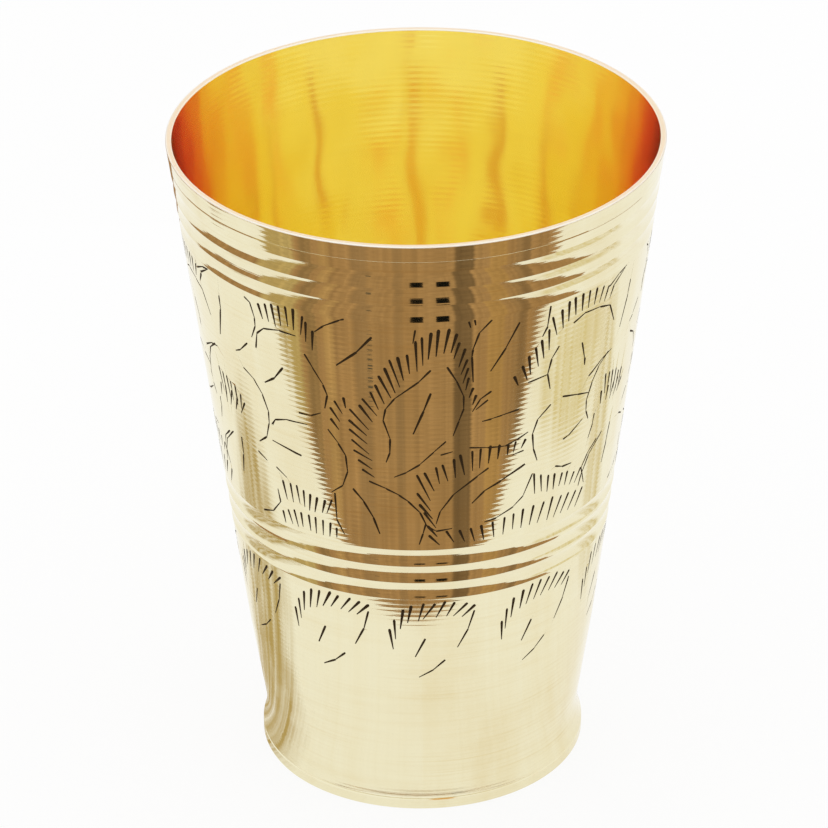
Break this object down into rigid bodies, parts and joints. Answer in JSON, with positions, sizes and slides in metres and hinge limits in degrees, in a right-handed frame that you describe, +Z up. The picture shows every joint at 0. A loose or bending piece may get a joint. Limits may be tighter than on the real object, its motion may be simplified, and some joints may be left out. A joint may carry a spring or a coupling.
{
  "type": "drinking tumbler",
  "caption": "Tapered turned brass drinking tumbler with a wide mouth, bands of turned rings, engraved leaves and a low flared foot; stands upright and holds a drink.",
  "frame": {"origin": "middle of the face that the tumbler rests on", "axes": "+Z up along the turning axis, from the foot to the mouth; the tumbler is round, so +X and +Y are only sides of the engraving"},
  "size_m": [0.092, 0.092, 0.128],
  "materials": {
    "polished_brass": "turned and polished, with fine turning marks",
    "foot_brass": "turned and polished",
    "floor_brass": "turned, satin",
    "brazing_metal": "as flowed, satin"
  },
  "bodies": {
    "root": {"wall": "polished_brass", "foot_ring": "foot_brass", "floor_disc": "floor_brass", "bowl_fillet": "brazing_metal", "under_fillet": "brazing_metal"}
  },
  "joints": []
}
